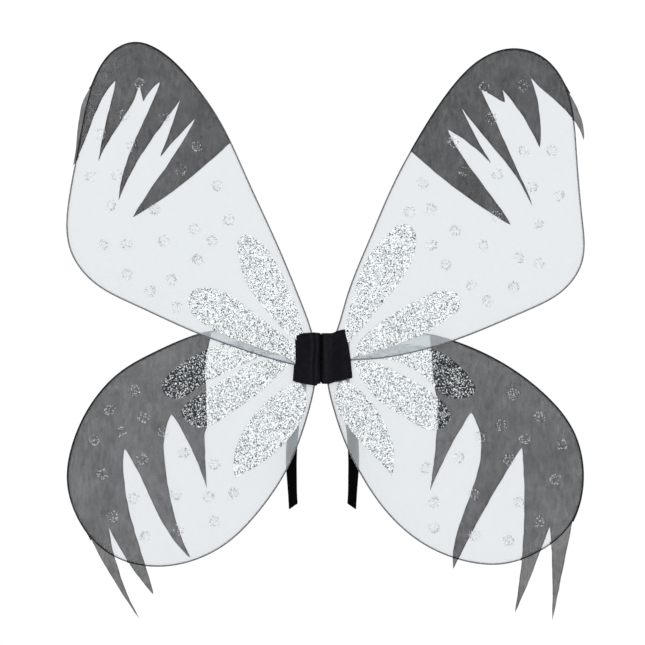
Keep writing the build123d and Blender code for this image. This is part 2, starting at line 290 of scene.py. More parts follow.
def thicken(piece, thickness):
    """Gives a sheet its thickness, half to each side, applied."""
    solid = piece.modifiers.new("Thickness", "SOLIDIFY")
    solid.thickness = thickness
    solid.offset = 0.0
    solid.use_even_offset = False
    apply_modifiers(piece)


def ring_faces(first, second, count):
    """Quads between two closed rings of count points that start at the given indices."""
    pairs = [(i, (i + 1) % count) for i in range(count)]
    return [[first + j, first + i, second + i, second + j] for i, j in pairs]


def run_cloth(piece, pinned, frames, gravity_share=1.0, **settings):
    """Runs the cloth solver with the given points held; the modifier is left on."""
    piece.vertex_groups.new(name="held").add(pinned, 1.0, "REPLACE")
    cloth = piece.modifiers.new("Cloth", "CLOTH")
    for key, value in settings.items():
        setattr(cloth.settings, key, value)
    cloth.settings.vertex_group_mass = "held"
    cloth.settings.effector_weights.gravity = gravity_share
    cloth.point_cache.frame_start = 1
    cloth.point_cache.frame_end = frames
    for step in range(1, frames + 1):
        bpy.context.scene.frame_set(step)


def finish_piece(piece, body, slot, material, *nodes):
    """Material, body and the CAD nodes this piece stands in for; the slot name is not used."""
    piece.data.materials.clear()
    piece.data.materials.append(material)
    if body:
        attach(piece, body)
    if nodes:
        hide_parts(*nodes)
    return piece


# ------------------------------------------------------------------ materials
NOISE_RANGE = (0.3, 0.7)     # nearly all of a noise texture's values
WEAVE_CONTRAST = 0.04        # threads against the gaps between them
EDGE_ON_EXTRA = 0.9          # threads close up when seen edge on
BACKLIT_SHARE = 0.4          # of the cloth's light that comes through from behind


class Nodes:
    """A few short calls for building one material's node tree."""

    def __init__(self, name):
        self.material = bpy.data.materials.new(name)
        self.material.use_nodes = True
        self.tree = self.material.node_tree
        self.tree.nodes.clear()
        self.coord = self.tree.nodes.new("ShaderNodeTexCoord").outputs["Object"]

    def add(self, kind, inputs=None, **settings):
        """One node; inputs are values or the outputs of other nodes."""
        node = self.tree.nodes.new(kind)
        for key, value in settings.items():
            setattr(node, key, value)
        for key, value in (inputs or {}).items():
            if isinstance(value, bpy.types.NodeSocket):
                self.tree.links.new(value, node.inputs[key])
            else:
                node.inputs[key].default_value = value
        return node

    def math(self, operation, a, b=0.0, clamp=False):
        node = self.add("ShaderNodeMath", {0: a, 1: b}, operation=operation, use_clamp=clamp)
        return node.outputs[0]

    def noise(self, scale, detail=3.0, rough=0.5, stretch=None):
        vector = self.coord
        if stretch:
            mapping = self.add("ShaderNodeMapping", {"Vector": vector, "Scale": stretch})
            vector = mapping.outputs[0]
        node = self.add(
            "ShaderNodeTexNoise",
            {"Vector": vector, "Scale": scale, "Detail": detail, "Roughness": rough},
        )
        return node.outputs[0]

    def threads(self, pitch, axis):
        """Bands along an axis, 0 to 1, that repeat at the pitch of the threads."""
        scale = 1.0 / (pitch * 3.183)      # a wave texture repeats every 1 / (3.183 scale)
        node = self.add(
            "ShaderNodeTexWave",
            {"Vector": self.coord, "Scale": scale, "Distortion": 0.4},
            bands_direction=axis,
        )
        return node.outputs["Fac"]

    def attribute(self, name):
        return self.add("ShaderNodeAttribute", attribute_name=name).outputs["Fac"]

    def ramp(self, value, low, high, from_low=0.0, from_high=1.0):
        """Maps one range of values to another, clamped."""
        node = self.add(
            "ShaderNodeMapRange",
            {"Value": value, "From Min": from_low, "From Max": from_high,
             "To Min": low, "To Max": high},
        )
        return node.outputs[0]

    def tint(self, value, dark, light):
        """A colour between dark and light."""
        node = self.add(
            "ShaderNodeMix", {0: value, 6: (*dark, 1), 7: (*light, 1)}, data_type="RGBA"
        )
        return node.outputs[2]

    def mix(self, share, a, b):
        node = self.add("ShaderNodeMixShader", {0: share, 1: a, 2: b})
        return node.outputs[0]

    def bump(self, height, distance, strength=1.0):
        node = self.add(
            "ShaderNodeBump", {"Height": height, "Distance": distance, "Strength": strength}
        )
        return node.outputs[0]

    def principled(self, colour, roughness, **inputs):
        inputs = {key.replace("_", " "): value for key, value in inputs.items()}
        inputs.update({"Base Color": colour, "Roughness": roughness})
        return self.add("ShaderNodeBsdfPrincipled", inputs).outputs[0]

    def output(self, shader):
        self.add("ShaderNodeOutputMaterial", {"Surface": shader})
        return self.material


def sheer(name, own, cover, mottle, mottle_size, streak, pitch, gloss):
    """Sheer cloth: light passes between its threads.  cover is the share that one
    sheet hides seen square on; each of its two faces hides its part of that."""
    n = Nodes(name)
    per_face = 1 - math.sqrt(1 - cover)
    cloud = n.noise(1 / mottle_size, detail=4.0, rough=0.6)
    weave = n.math("MULTIPLY", n.threads(pitch, "X"), n.threads(pitch, "Z"))
    slub = n.noise(240.0, detail=4.0, rough=0.65, stretch=(1.0, 1.0, 0.4))
    edge_on = n.add("ShaderNodeLayerWeight", {"Blend": 0.25}).outputs["Facing"]
    thickness = n.ramp(cloud, per_face * (1 - mottle), per_face * (1 + mottle), *NOISE_RANGE)
    for factor in (
        n.ramp(weave, 1 - WEAVE_CONTRAST, 1 + WEAVE_CONTRAST, 0.0, 0.5),
        n.ramp(slub, 1 - streak, 1 + streak, *NOISE_RANGE),
        n.math("ADD", 1.0, n.math("MULTIPLY", edge_on, EDGE_ON_EXTRA)),
    ):
        thickness = n.math("MULTIPLY", thickness, factor)
    thickness = n.math("MULTIPLY", thickness, n.attribute("cover"), clamp=True)
    colour = n.tint(cloud, tuple(0.94 * c for c in own), tuple(min(1, 1.05 * c) for c in own))
    relief = n.bump(weave, 0.05 * MM, 0.3)
    front = n.add("ShaderNodeBsdfDiffuse", {"Color": colour, "Normal": relief}).outputs[0]
    through = n.add("ShaderNodeBsdfTranslucent", {"Color": colour}).outputs[0]
    cloth = n.mix(BACKLIT_SHARE, front, through)
    shine = n.add(
        "ShaderNodeBsdfGlossy", {"Color": (1, 1, 1, 1), "Roughness": 0.45, "Normal": relief}
    ).outputs[0]
    cloth = n.mix(gloss, cloth, shine)
    clear = n.add("ShaderNodeBsdfTransparent").outputs[0]
    return n.output(n.mix(thickness, clear, cloth))


def glitter(name, see_through):
    """Facets carry a painted tone face by face, standing in for their glints and dark reflections,
    and in the dots their own cover.
    """
    n = Nodes(name)
    # each facet's painted tone stands in for its glint and sets its colour
    tone = n.attribute("tone")
    colour = n.tint(tone, (0.0, 0.004, 0.006), (0.94, 0.985, 1.0))
    speck = n.noise(2600.0, detail=1.0)
    flake = n.principled(
        colour, n.ramp(speck, 0.22, 0.5, *NOISE_RANGE), Metallic=0.35,
        Specular_IOR_Level=0.25, Normal=n.bump(speck, 0.08 * MM, 0.5),
    )
    if not see_through:
        return n.output(flake)
    clear = n.add("ShaderNodeBsdfTransparent").outputs[0]
    return n.output(n.mix(n.attribute("cover"), clear, flake))


def black_cloth(name, dark, light, nap_size, pile, folded=False):
    """Matt brushed cloth with a faint nap; a folded one gets painted light on its forward folds
    and painted shade in its grooves.
    """
    n = Nodes(name)
    nap = n.noise(1 / nap_size, detail=6.0, rough=0.7)
    fibre = n.noise(900.0, detail=2.0, stretch=(1.0, 1.0, 0.25))
    shade = n.math("MULTIPLY", nap, n.ramp(fibre, 0.7, 1.2))
    if folded:
        # painted light and shade: lighter where a fold stands forward, darker down in its grooves
        shade = n.math("MULTIPLY", shade, n.ramp(n.attribute("painted_fold_light"), 0.0, 1.9))
    colour = n.tint(shade, dark, light)
    height = n.math("ADD", n.math("MULTIPLY", nap, 0.6), n.math("MULTIPLY", fibre, 0.4))
    cloth = n.principled(
        colour, n.ramp(nap, 0.78, 0.98), Specular_IOR_Level=0.04, Sheen_Weight=pile,
        Sheen_Roughness=0.5, Normal=n.bump(height, 0.25 * MM, 0.6),
    )
    return n.output(cloth)


def elastic(name):
    """Woven black elastic: cross picks and fuzz; its ribs are in the mesh."""
    n = Nodes(name)
    picks = n.threads(1.4 * MM, "Z")
    fuzz = n.noise(1400.0, detail=3.0)
    shade = n.math("MULTIPLY", picks, fuzz)
    colour = n.tint(shade, (0.0004, 0.0004, 0.0005), (0.0060, 0.0060, 0.0066))
    band = n.principled(
        colour, n.ramp(fuzz, 0.6, 0.85), Specular_IOR_Level=0.01,
        Normal=n.bump(picks, 0.15 * MM, 0.5),
    )
    return n.output(band)


def coated_wire(name):
    """Thin black coating with rubbed, greyer patches."""
    n = Nodes(name)
    wear = n.noise(60.0, detail=5.0, rough=0.65)
    colour = n.tint(n.ramp(wear, 0, 1, 0.45, 0.75), (0.012, 0.012, 0.013), (0.06, 0.062, 0.065))
    wire = n.principled(
        colour, n.ramp(wear, 0.3, 0.55), Metallic=0.3,
        Normal=n.bump(n.noise(2500.0), 0.03 * MM, 0.4),
    )
    return n.output(wire)


def thread(name):
    """Twisted black sewing thread."""
    n = Nodes(name)
    twist = n.threads(0.35 * MM, "DIAGONAL")
    colour = n.tint(twist, (0.001, 0.001, 0.0015), (0.006, 0.006, 0.007))
    yarn = n.principled(
        colour, n.ramp(twist, 0.6, 0.8), Specular_IOR_Level=0.05,
        Normal=n.bump(twist, 0.1 * MM, 0.6),
    )
    return n.output(yarn)


WHITE_SHEER = sheer(
    "white_sheer", own=(0.66, 0.71, 0.75), cover=0.59, mottle=0.04, mottle_size=55 * MM,
    streak=0.015, pitch=0.5 * MM, gloss=0.03,
)
CHARCOAL = sheer(
    "charcoal_sheer", own=(0.010, 0.0105, 0.0115), cover=0.825, mottle=0.06,
    mottle_size=26 * MM, streak=0.11, pitch=0.5 * MM, gloss=0.02,
)
PETAL_GLITTER = glitter("petal_glitter", see_through=False)
DOT_GLITTER = glitter("dot_glitter", see_through=True)
PATCH_CLOTH = black_cloth(
    "patch_felt", dark=(0.0002, 0.0002, 0.0003), light=(0.0135, 0.0125, 0.0175),
    nap_size=5 * MM, pile=0.03, folded=True,
)
PAD_CLOTH = black_cloth(
    "pad_cover", dark=(0.004, 0.004, 0.005), light=(0.016, 0.016, 0.019),
    nap_size=6 * MM, pile=0.1,
)
SEAT_CLOTH = black_cloth(
    "patch_felt_back", dark=(0.003, 0.003, 0.0035), light=(0.011, 0.0105, 0.013),
    nap_size=9 * MM, pile=0.03,
)
TAPE_CLOTH = black_cloth(
    "binding_tape", dark=(0.003, 0.003, 0.0035), light=(0.012, 0.012, 0.013),
    nap_size=4 * MM, pile=0.0,
)
ELASTIC = elastic("strap_elastic")
WIRE = coated_wire("black_wire")
THREAD = thread("thread")


# ------------------------------------------------------------------ stretched sheets
SHEET_PULL = (0.0, -2.5, -4.0)       # what makes the sheets billow, m/s2
SHEET_FRAMES = 24
SIDE_SHIFT = 1 * MM                  # the most a sheet creeps sideways
SLACK_CLOTH = {
    "quality": 5,
    "mass": 0.02,
    "tension_stiffness": 12,
    "compression_stiffness": 12,
    "shear_stiffness": 6,
    "bending_stiffness": 0.05,
    "air_damping": 2.0,
    "shrink_min": -0.0015,
}


def stretch(piece, pinned, depth):
    """Cloth simulation of a slightly slack sheet held at its edge; gives the new points."""
    rest = np.array([v.co for v in piece.data.vertices])
    scene = bpy.context.scene
    gravity = scene.gravity.copy()
    scene.gravity = SHEET_PULL
    run_cloth(piece, pinned, SHEET_FRAMES, **SLACK_CLOTH)
    graph = bpy.context.evaluated_depsgraph_get()
    moved = np.array([v.co for v in piece.evaluated_get(graph).data.vertices])
    piece.modifiers.clear()
    piece.vertex_groups.clear()
    scene.frame_set(1)
    scene.gravity = gravity
    shift = moved - rest
    shift[:, 1] = depth * np.tanh(shift[:, 1] / depth)
    for axis in (0, 2):
        shift[:, axis] = np.clip(shift[:, axis], -SIDE_SHIFT, SIDE_SHIFT)
    return rest + shift


def plan_tree(points):
    """Nearest-point search among (x, z) points."""
    tree = kdtree.KDTree(len(points))
    for i, p in enumerate(points):
        tree.insert((p[0], 0.0, p[1]), i)
    tree.balance()
    return tree


class Billow:
    """How far a wing's stretched sheet stands off its flat plane at any (x, z)."""

    NEIGHBOURS = 4
    SOFTEN = 0.5 * MM

    def __init__(self, flat, shift):
        self.tree = plan_tree(flat)
        self.shift = shift

    def at(self, x, z):
        total = weight = 0.0
        for _, i, d in self.tree.find_n((x, 0.0, z), self.NEIGHBOURS):
            w = 1.0 / (d + self.SOFTEN)
            total += self.shift[i] * w
            weight += w
        return total / weight

    def along(self, points):
        return np.array([self.at(p[0], p[1]) for p in points])


def wrap_steps(turns, radius, wire_y):
    """How far out of the outline, and how deep, cloth lies at each turn round the wire."""
    angles = [math.radians(turn) for turn in turns]
    return [(math.cos(a) * radius, wire_y - math.sin(a) * radius) for a in angles]


def build_sheet(wing):
    """White sheet of one wing with its hem wrapped round the wire."""
    node = wing + "_fabric"
    sheet_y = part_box(node)[0].y + SHEET_T / 2
    wire_y = middle_y(wing + "_wire")
    loop = resample(front_loops(node)[0], 0.8 * SHEET_STEP)
    flat, faces, rim = triangulate(loop, SHEET_STEP, seed=len(wing))
    verts = np.stack([flat[:, 0], np.full(len(flat), sheet_y), flat[:, 1]], axis=1)
    trial = new_piece("trial", verts, faces)
    moved = stretch(trial, list(range(rim)), SLACK[wing.split("_")[0]])
    bpy.data.objects.remove(trial)

    # Hem: round the outside of the wire and a short lip behind it.
    cover = [1.0] * len(faces)
    steps = wrap_steps(WRAP_TURNS, WRAP_R, wire_y) + [(-HEM_LIP, wire_y + WRAP_R)]
    hem = [
        (p[0] + n[0] * out, y, p[1] + n[1] * out)
        for out, y in steps
        for p, n in zip(loop, outward(loop))
    ]
    starts = [0] + [len(moved) + k * rim for k in range(len(steps))]
    for first, second in zip(starts, starts[1:]):
        for i in range(rim):
            j = (i + 1) % rim
            faces.append([first + i, second + i, second + j, first + j])
            cover.append(HEM_COVER)
    sheet = new_piece(wing + "_sheer", np.concatenate([moved, hem]), faces)
    store(sheet.data, "cover", "FACE", cover)
    subdivide(sheet)

    fine = np.array([v.co for v in sheet.data.vertices])
    fine = fine[fine[:, 1] < sheet_y + 0.1 * MM]      # without the hem behind
    billow = Billow(fine[:, [0, 2]], fine[:, 1] - sheet_y)
    thicken(sheet, SHEET_T)
    finish_piece(sheet, wings_body(wing), "white_sheer", WHITE_SHEER, node)
    return loop, billow


# ------------------------------------------------------------------ ragged overlays
# How dense each dark tip looks.
TIP_DENSITY = {"upper_left": 1.01, "upper_right": 1.03, "lower_left": 0.86, "lower_right": 0.90}
HANG_DENSITY = 1.015                # where no white sheet lies behind it
CLOUD, SPECKLE = 0.060, 0.050       # broad and fine unevenness of the density
DARK_STREAK_AT = (-238 * MM, 378 * MM)   # darker streak on the upper left tip
DARK_STREAK_SIZE = (4.5 * MM, 22 * MM)
DARK_STREAK_EXTRA = 0.09
BLUNT_REACH = 1.6 * 1.8 * MM        # how far back a torn point is rounded
BLUNT_TURN = math.radians(105)
SWAY, SWAYS_PER_M = 0.7, 62         # slow unevenness of a cut edge, mm
NICK, NICKS_PER_M = 0.25, 190
STUCK_REACH = 12 * MM               # cloth this near the wire stays down
LOOSE_OVER = 110 * MM               # and it is quite loose this much further on


def blunt(loop):
    """Rounds off the very ends of the torn points."""
    n = len(loop)
    out = []
    for i in range(n):
        here, back, ahead = loop[i], loop[i - 1] - loop[i], loop[(i + 1) % n] - loop[i]
        back_length, ahead_length = np.linalg.norm(back), np.linalg.norm(ahead)
        bend = float(np.clip(back @ ahead / (back_length * ahead_length), -1, 1))
        if math.pi - math.acos(bend) < BLUNT_TURN:
            out.append(here)
            continue
        u = back / back_length * min(BLUNT_REACH, back_length * 0.6)
        v = ahead / ahead_length * min(BLUNT_REACH, ahead_length * 0.6)
        out += [here + u, here + 0.252 * (u + v), here + v]
    return np.array(out)


def frayed(loop, held, seed):
    """Uneven hand-cut edge on the free points."""
    normals = outward(loop)
    out = loop.copy()
    for i in np.nonzero(~held)[0]:
        x, z = loop[i]
        sway = spot_noise(x * SWAYS_PER_M, seed, z * SWAYS_PER_M)
        nick = spot_noise(x * NICKS_PER_M, seed + 5, z * NICKS_PER_M)
        out[i] = loop[i] + normals[i] * (SWAY * sway + NICK * nick) * MM
    return out


class Tip:
    """Shape of one dark tip: how far it stands off the white sheet at (x, z)."""

    def __init__(self, wing, held_points):
        self.seed = 3.7 * len(wing)
        self.anchor = plan_tree(held_points)

    def looseness(self, x, z):
        """0 at the wire, 1 far out on a free point."""
        reach = self.anchor.find((x, 0.0, z))[2]
        return min(1.0, max(0.0, (reach - STUCK_REACH) / LOOSE_OVER)) ** 1.5

    def waves(self, x, z):
        """A broad swell and a fine ripple, both longer down the cloth than across it."""
        return spot_noise(x * 22, self.seed, z * 9), spot_noise(x * 70, 9.1, z * 16)

    def lift(self, x, z):
        """Inside the wing the cloth can only stand forward."""
        swell, ripple = self.waves(x, z)
        return -(self.looseness(x, z) * (0.5 + 1.2 * abs(swell)) + 0.25 * abs(ripple)) * MM

    def hang(self, x, z):
        """Outside it the points swing both ways."""
        swell, ripple = self.waves(x, z)
        return (self.looseness(x, z) * 5.0 * swell + 0.5 * ripple) * MM


def tip_density(wing, x, z, backed):
    """Density of the dark cloth at one spot; backed where it lies on the white sheet."""
    cloud = spot_noise(x * 30, 1.3, z * 22)
    fine = spot_noise(x * 190, 5.3, z * 90)
    density = TIP_DENSITY[wing] if backed else HANG_DENSITY
    density *= 1 + CLOUD * cloud + SPECKLE * fine
    if wing == "upper_left":
        dx = (x - DARK_STREAK_AT[0]) / DARK_STREAK_SIZE[0]
        dz = (z - DARK_STREAK_AT[1]) / DARK_STREAK_SIZE[1]
        density += DARK_STREAK_EXTRA * math.exp(-dx * dx - dz * dz)
    return density


def build_overlay(wing, wing_loop, billow):
    """Dark tip: turned round the wire with the sheet, its points free to lift and curl."""
    node = wing + "_overlay"
    flat_y = middle_y(node) - OVERLAY_GAP
    loop = resample(blunt(front_loops(node)[0]), OVERLAY_STEP)
    held = edge_distance(loop, wing_loop) < HELD_REACH
    loop = frayed(loop, held, 2.0 * len(wing) + loop[0][0] * 40)
    flat, faces, rim = triangulate(loop, OVERLAY_STEP, seed=31 + len(wing))
    tip = Tip(wing, loop[held])
    within = inside(flat, wing_loop)
    base = billow.along(flat)
    verts, cover = [], []
    for i, (x, z) in enumerate(flat):
        on_edge = i < rim and held[i]
        if on_edge:
            y = flat_y
        elif within[i]:
            y = flat_y + base[i] + tip.lift(x, z)
        else:
            y = flat_y + tip.hang(x, z)
        verts.append((x, y, z))
        cover.append(tip_density(wing, x, z, within[i] or on_edge))

    # Strips of the held edge turned round the wire, outside the white hem.
    normals = outward(loop)
    steps = wrap_steps(TIP_WRAP_TURNS, TIP_WRAP_R, middle_y(wing + "_wire"))
    strips = {}
    for i in np.nonzero(held)[0].tolist():
        strips[i] = [i] + [len(verts) + k for k in range(len(steps))]
        (x, z), (nx, nz) = loop[i], normals[i]
        verts += [(x + nx * out, y, z + nz * out) for out, y in steps]
        cover += [TIP_WRAP_COVER] * len(steps)
    for i, a in strips.items():
        j = (i + 1) % rim
        if j in strips and np.linalg.norm(loop[i] - loop[j]) <= 2 * OVERLAY_STEP:
            b = strips[j]
            faces += [[a[k], a[k + 1], b[k + 1], b[k]] for k in range(len(steps))]
    piece = new_piece(wing + "_ragged_tip", verts, faces)
    store(piece.data, "cover", "POINT", cover)
    thicken(piece, OVERLAY_T)
    finish_piece(piece, wings_body(wing), "charcoal_sheer", CHARCOAL, node)
    return loop, tip


# ------------------------------------------------------------------ glitter
# Flake tones, painted glints and dark reflections: a share of the flakes, counted up from the
# darkest, and their range.
GLINT_TONES_ON_DARK = ((0.60, 0.0, 0.025), (0.82, 0.04, 0.16), (1.0, 0.6, 1.0))
GLINT_TONES_ON_WHITE = ((0.22, 0.04, 0.22), (0.44, 0.36, 0.60), (1.0, 0.94, 1.0))
PETAL_RISE = (-0.26 * MM, 0.16 * MM)     # how far single facets stand out or in
PETAL_DEPTH = 0.22 * MM
DOT_RISE = (-0.30 * MM, 0.02 * MM)
DOT_DEPTH = 0.20 * MM
HIDDEN_PETAL_TONES = (0.44, 0.62)        # undersides and walls
HIDDEN_DOT_TONE = 0.6
FACET_JITTER = 0.33


def petal_glint_tone(rng, over_dark):
    """Painted brightness of one flake, which stands in for the light it reflects; darker and
    harsher where it lies on the dark overlay.
    """
    roll = rng.random()
    for share, low, high in GLINT_TONES_ON_DARK if over_dark else GLINT_TONES_ON_WHITE:
        if roll < share:
            return rng.uniform(low, high)


def stand_off(points, overlay_loop, tip, billow):
    """Depth of the cloth under each point, and whether that cloth is the dark tip."""
    dark = inside(points, overlay_loop)
    depth = billow.along(points)
    for i in np.nonzero(dark)[0]:
        depth[i] += tip.lift(*points[i])
    return depth, dark


class Crust:
    """Closed plates of small tilted facets lying on a wing's cloth, in one mesh."""

    def __init__(self, node, rng, bed):
        self.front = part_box(node)[0].y - OVERLAY_GAP
        self.rng, self.bed = rng, bed
        self.verts, self.faces = [], []

    def add(self, loop, step, seed, rise, thickness):
        """One plate: top facets, underside and a narrow wall.  Gives the points, the
        top's triangles, how many faces are hidden, and which points lie on the dark."""
        flat, tris, rim = triangulate(loop, step, seed, FACET_JITTER)
        depth, dark = stand_off(flat, *self.bed)
        first, count = len(self.verts), len(flat)
        top = [self.front + d + self.rng.uniform(*rise) for d in depth]
        back = [self.front + thickness + d for d in depth]
        for level in (top, back):
            self.verts += [(p[0], y, p[1]) for p, y in zip(flat, level)]
        self.faces += [[first + i for i in t] for t in tris]
        self.faces += [[first + count + i for i in reversed(t)] for t in tris]
        self.faces += ring_faces(first, first + count, rim)
        return flat, tris, len(tris) + rim, dark


def build_petals(wing, bed):
    """Petals as closed crusts of small tilted facets."""
    node = wing + "_glitter_petals"
    rng = random.Random(wing)
    crust = Crust(node, rng, bed)
    tones = []
    for k, outline in enumerate(front_loops(node)):
        loop = resample(outline, FLAKE_STEP)
        loop = loop + np.array([[rng.uniform(-1, 1), rng.uniform(-1, 1)] for _ in loop]) * 0.3 * MM
        _, tris, hidden, dark = crust.add(loop, FLAKE_STEP, 57 + k, PETAL_RISE, PETAL_DEPTH)
        # painted glint tones for the top facets
        tones += [petal_glint_tone(rng, dark[t[0]] and dark[t[1]]) for t in tris]
        tones += [rng.uniform(*HIDDEN_PETAL_TONES) for _ in range(hidden)]
    piece = new_piece(wing + "_petals", crust.verts, crust.faces, smooth=False)
    store(piece.data, "tone", "FACE", tones)
    finish_piece(piece, wings_body(wing), "petal_glitter", PETAL_GLITTER, node)


def crumb(rng, x, z, radius, gap, k, on_dark, dark_share):
    """Painted tone of one facet of dot k, standing in for the light it reflects, and its cover; x
    and z from the dot's middle.
    """
    reach = math.hypot(x, z) / (1.18 * radius)
    angle = math.atan2(z, x)
    broken = 0.55 + 0.45 * math.cos(angle - gap) + 0.5 * spot_noise(angle * 2.2, k, 4.0)
    rim_share = math.exp(-(((reach - 0.72) / 0.17) ** 2)) * max(0.0, broken)
    curl = spot_noise(x * 560, k, z * 560)
    chance = 0.40 * rim_share + 0.55 * max(0.0, curl + 0.20)
    if not on_dark:
        chance += 0.22
        dark_share = 0.22 + 0.55 * min(1.0, rim_share)
    if rng.random() >= chance * (1.0 if reach < 0.93 else 0.4):
        return 0.8, 0.0
    # painted tone standing in for the light each crumb reflects
    if rng.random() >= dark_share:
        tone = rng.uniform(0.6, 1.0)
    elif on_dark:
        tone = rng.uniform(0.0, 0.1)
    else:
        tone = rng.uniform(0.18, 0.42)
    return tone, rng.uniform(0.22, 0.5) if on_dark else rng.uniform(0.4, 0.8)


def build_dots(wing, bed):
    """Glue dots: crumbs of glitter, thickest round a broken rim, in a clear film."""
    node = wing + "_glitter_dots"
    rng = random.Random("dots " + wing)
    dark_share = 0.5 if wing.startswith("upper") else 0.12
    crust = Crust(node, rng, bed)
    tones, covers = [], []
    for k, outline in enumerate(front_loops(node)):
        centre = outline.mean(0)
        radius = float(np.linalg.norm(outline - centre, axis=1).mean())
        loop = resample(outline, CRUMB_STEP, corner=math.pi)
        loop = centre + (loop - centre) * rng.uniform(1.10, 1.25)
        flat, tris, hidden, dark = crust.add(loop, CRUMB_STEP, 300 + k, DOT_RISE, DOT_DEPTH)
        gap = rng.uniform(0, math.tau)
        for t in tris:
            x, z = flat[t].mean(0) - centre
            on_dark = dark[t[0]] and dark[t[1]]
            tone, cover = crumb(rng, x, z, radius, gap, k, on_dark, dark_share)
            tones.append(tone)
            covers.append(cover)
        tones += [HIDDEN_DOT_TONE] * hidden
        covers += [0.0] * hidden
    piece = new_piece(wing + "_dots", crust.verts, crust.faces, smooth=False)
    store(piece.data, "tone", "FACE", tones)
    store(piece.data, "cover", "FACE", covers)
    finish_piece(piece, wings_body(wing), "dot_glitter", DOT_GLITTER, node)


# ------------------------------------------------------------------ patch and pad
EDGE_FADE = 1.3 * MM             # how fast the rounding of a panel's edge dies out
WALL_SHARES = (0.3, 0.6, 0.85)   # rings of a panel's side wall, front to back
WALL_OUT = 0.35 * MM
# Folds of each half running up and down, in mm: height (forward is below 0), place out
# from the crease, share of the wander, and width.
UPRIGHT_FOLDS = {
    "left": ((-0.75, 5.8, 1.0, 2.1), (0.40, 9.0, 1.0, 1.6), (-0.80, 12.2, 1.3, 1.9)),
    "right": ((-0.60, 5.2, 1.0, 2.0), (-0.35, 9.8, -1.0, 1.5), (-0.28, 13.6, -1.5, 1.3)),
}
# Folds across: height, place below the middle, slope, width, where each starts, its fade.
LEVEL_FOLDS = {
    "left": ((0.45, 8.2, 0.06, 1.1, 26, 2.5), (-0.30, 11.0, 0.0, 1.6, 24, 3)),
    "right": (),
}
PAD_SHARE = 0.985                # the pad's seam lies a little inside its outline
PAD_FRAMES = 16
PAD_SWELL = {"use_pressure": True, "uniform_pressure_force": 3.0, "tension_stiffness": 10}


def panel(name, loop, front_y, back_y, relief, pinch=1.2 * MM, round_r=1.0 * MM, seed=5):
    """A closed soft panel: a relief on the front, rounded edges, sides pulled in."""
    loop = resample(loop, PANEL_STEP)
    flat, tris, rim = triangulate(loop, PANEL_STEP, seed)
    count = len(flat)
    soft = round_r * np.exp(-edge_distance(flat, loop) / EDGE_FADE)
    height = [relief(p[0], p[1]) for p in flat]
    verts = [(p[0], front_y + s + h, p[1]) for p, s, h in zip(flat, soft, height)]
    verts += [(p[0], back_y - 0.6 * s, p[1]) for p, s in zip(flat, soft)]
    faces = tris + [[count + i for i in reversed(t)] for t in tris]
    levels = [0]
    for share in WALL_SHARES:
        levels.append(len(verts))
        pull = -pinch * math.sin(math.pi * share) + WALL_OUT
        for i, (p, n) in enumerate(zip(loop, outward(loop))):
            y = verts[i][1] + (verts[count + i][1] - verts[i][1]) * share
            verts.append((p[0] + n[0] * pull, y, p[1] + n[1] * pull))
    levels.append(count)
    for first, second in zip(levels, levels[1:]):
        faces += ring_faces(first, second, rim)
    piece = new_piece(name, verts, faces)
    # painted light and shade of the folds, read by the felt: high where the front stands forward,
    # low in the grooves
    painted_fold_light = [min(1.0, max(0.0, 0.5 - 0.72 * h / MM)) for h in height]
    store(piece.data, "painted_fold_light", "POINT", painted_fold_light + [0.5] * (len(verts) - count))
    subdivide(piece)
    return piece


def ridge(distance, width):
    """1 on the line of a fold, falling away to both sides."""
    return math.exp(-((distance / width) ** 2))


def fade_in(past, width):
    """From 0 to 1 round the place where past is 0."""
    return 1 / (1 + math.exp(-past / width))


def patch_relief(side, x, z):
    """Folds of one half, from the crease outwards; x and z in metres from the crease."""
    sign = -1 if side == "left" else 1
    away, up = abs(x) / MM, z / MM
    wander = 1.6 * spot_noise(0.3, sign, up * 0.035)
    gape = fade_in(up + 14, 5) * fade_in(29 - up, 3)     # where the crease opens
    h = (0.30 + 0.65 * gape) * ridge(away, 1.8 + 1.3 * gape)
    for height, place, drift, width in UPRIGHT_FOLDS[side]:
        h += height * ridge(away - place - drift * wander, width)
    for height, below, slope, width, start, fade in LEVEL_FOLDS[side]:
        h += height * ridge(up + below + slope * away, width) * fade_in(away - start, fade)
    h += 0.30 * spot_noise(x * 75, 2.0 * sign, z * 26)
    return h * MM


def build_patch():
    """Two soft front halves that meet in the crease, and the flat cover behind them."""
    seam_low, seam_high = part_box("crease_seam")
    crease = (seam_low.x + seam_high.x) / 2
    back_low, back_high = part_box("back_patch")
    for side, sign in (("left", -1), ("right", 1)):
        node = side + "_front_patch"

        def relief(x, z, side=side):
            return patch_relief(side, x - crease, z)

        outline = front_loops(node)[0]
        near = np.abs(outline[:, 0] - crease) < 2 * MM
        outline[near, 0] = crease + sign * 0.25 * MM
        front_y, back_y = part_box(node)[0].y, back_low.y - 0.12 * MM
        piece = panel(node + "_cover", outline, front_y, back_y, relief, seed=9 + sign)
        finish_piece(piece, side + "_wings", "patch_felt", PATCH_CLOTH, node)

    piece = panel(
        "back_cover", front_loops("back_patch")[0], back_low.y, back_high.y,
        lambda x, z: 0.1 * MM * spot_noise(x * 80, 0, z * 80),
        pinch=0.2 * MM, round_r=0.4 * MM,
    )
    finish_piece(piece, "back", "patch_felt", SEAT_CLOTH, "back_patch")


